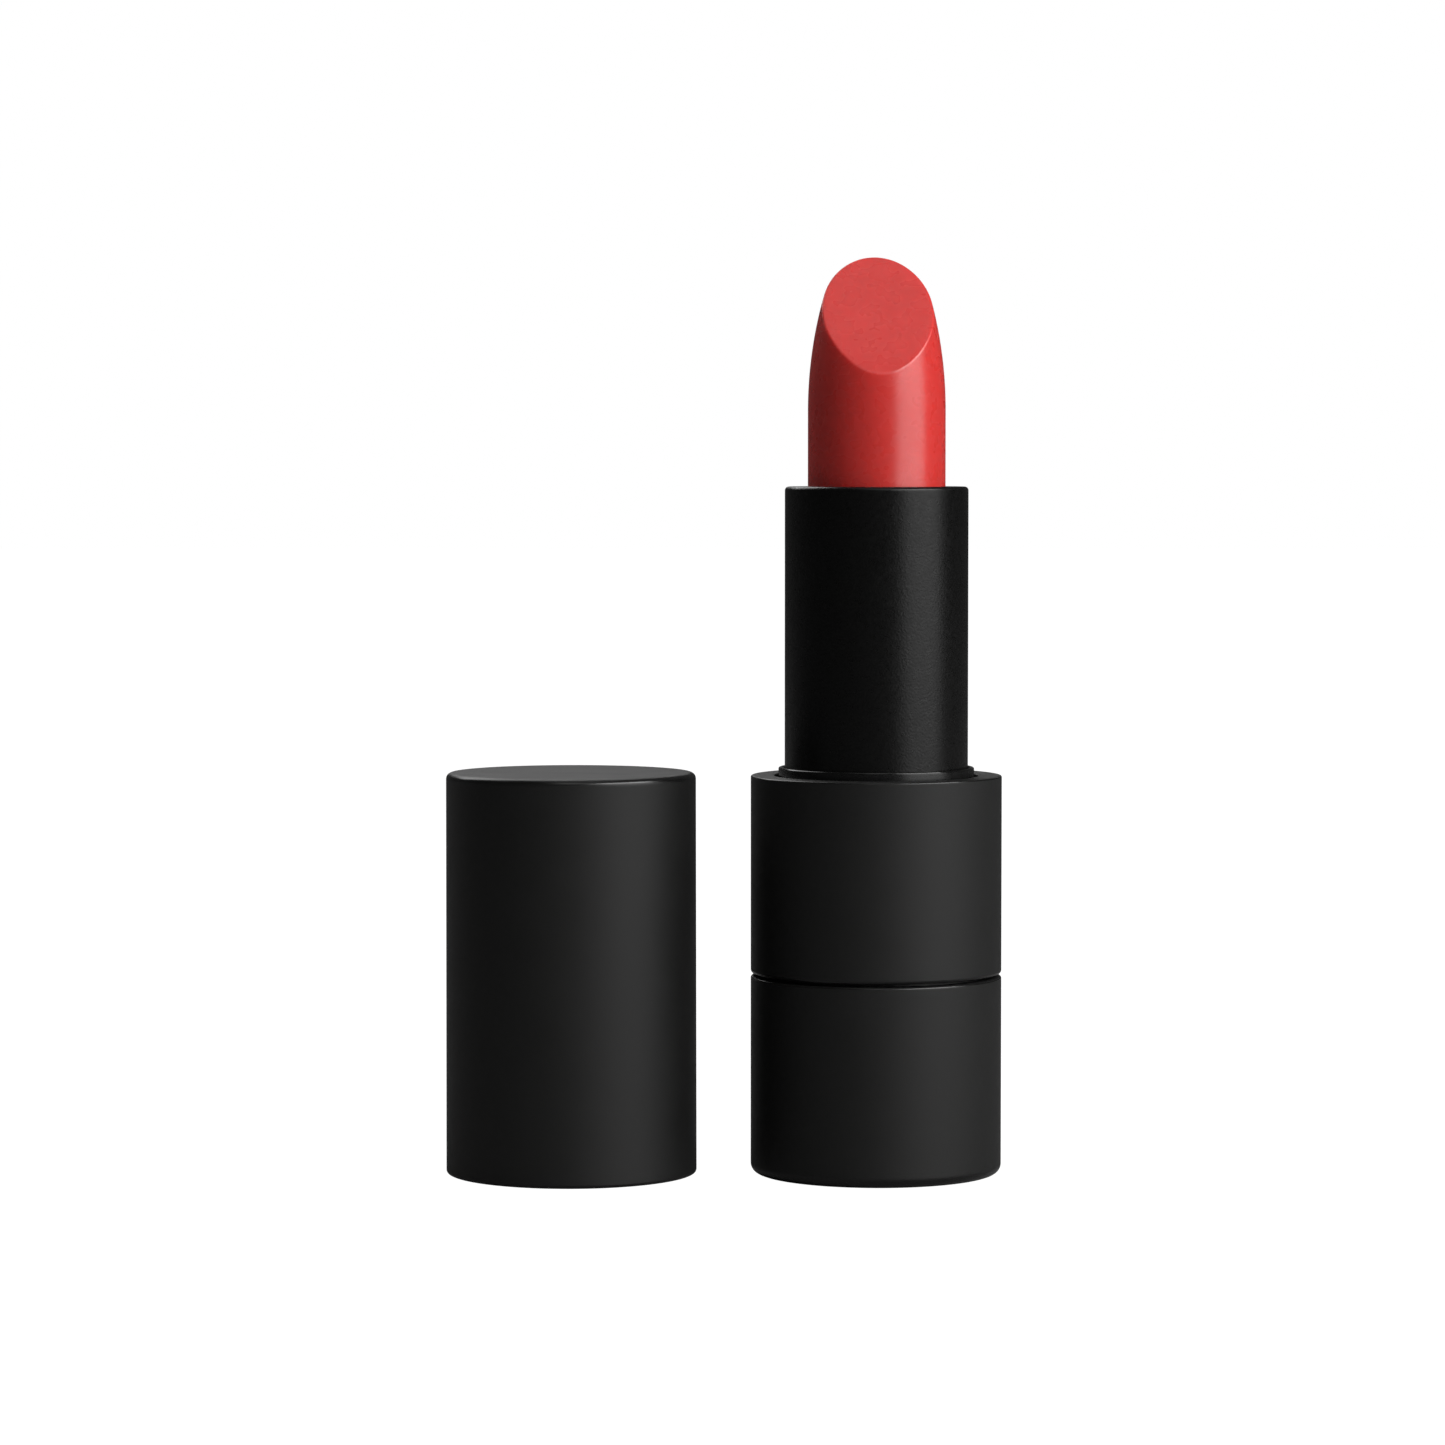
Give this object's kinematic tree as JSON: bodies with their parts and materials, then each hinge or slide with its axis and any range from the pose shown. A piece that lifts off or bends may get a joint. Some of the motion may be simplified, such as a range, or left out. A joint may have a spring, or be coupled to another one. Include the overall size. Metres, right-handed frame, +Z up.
{
  "type": "lipstick case",
  "caption": "Cylindrical twist-up lipstick case, open with a slant-cut bullet raised, its cap standing beside it.",
  "frame": {"origin": "centre of the case's underside, on the surface that the case and its cap stand on", "axes": "+Z up along the case's axis towards the bullet's tip, -Y the way the bullet's cut face looks, -X towards the cap"},
  "size_m": [0.0492, 0.0222, 0.0811],
  "materials": {
    "soft_touch_black": "matt black soft-touch paint on a moulded shell",
    "tube_black": "satin black anodised, with a fine grain",
    "ring_black": "smooth black moulded plastic",
    "inner_black": "plain black moulded plastic",
    "natural_plastic": "uncoloured moulded plastic",
    "weight_steel": "turned steel",
    "silicone_red": "soft silicone",
    "red_wax": "satin coral red lipstick wax"
  },
  "bodies": {
    "base": {"base_shell": "soft_touch_black", "base_plug": "soft_touch_black", "base_weight": "weight_steel", "base_core": "inner_black", "slotted_tube": "natural_plastic", "torque_ring": "silicone_red", "glide_washer": "inner_black"},
    "collar": {"collar_shell": "soft_touch_black", "collar_core": "inner_black", "snap_ring": "ring_black", "sheath_tube": "tube_black", "spiral_cam": "natural_plastic"},
    "carrier": {"carrier_cup": "natural_plastic", "bullet": "red_wax"},
    "cap": {"cap_shell": "soft_touch_black", "cap_liner": "inner_black"}
  },
  "joints": [
    {"name": "collar_twist", "type": "hinge", "parent": "base", "child": "collar", "pos_m": [0, 0, 0.01765], "axis": [0, 0, 1], "range_deg": [0, 450]},
    {"name": "bullet_slide", "type": "slide", "parent": "base", "child": "carrier", "axis": [0, 0, 1], "range_m": [-0.02251, 0]},
    {"name": "cap_lift", "type": "slide", "parent": "base", "child": "cap", "axis": [0, 0, 1], "range_m": [0, 0.0255]}
  ],
  "couplings": [
    {"joint": "bullet_slide", "follows": "collar_twist", "m_per_rad": -0.0028648}
  ]
}
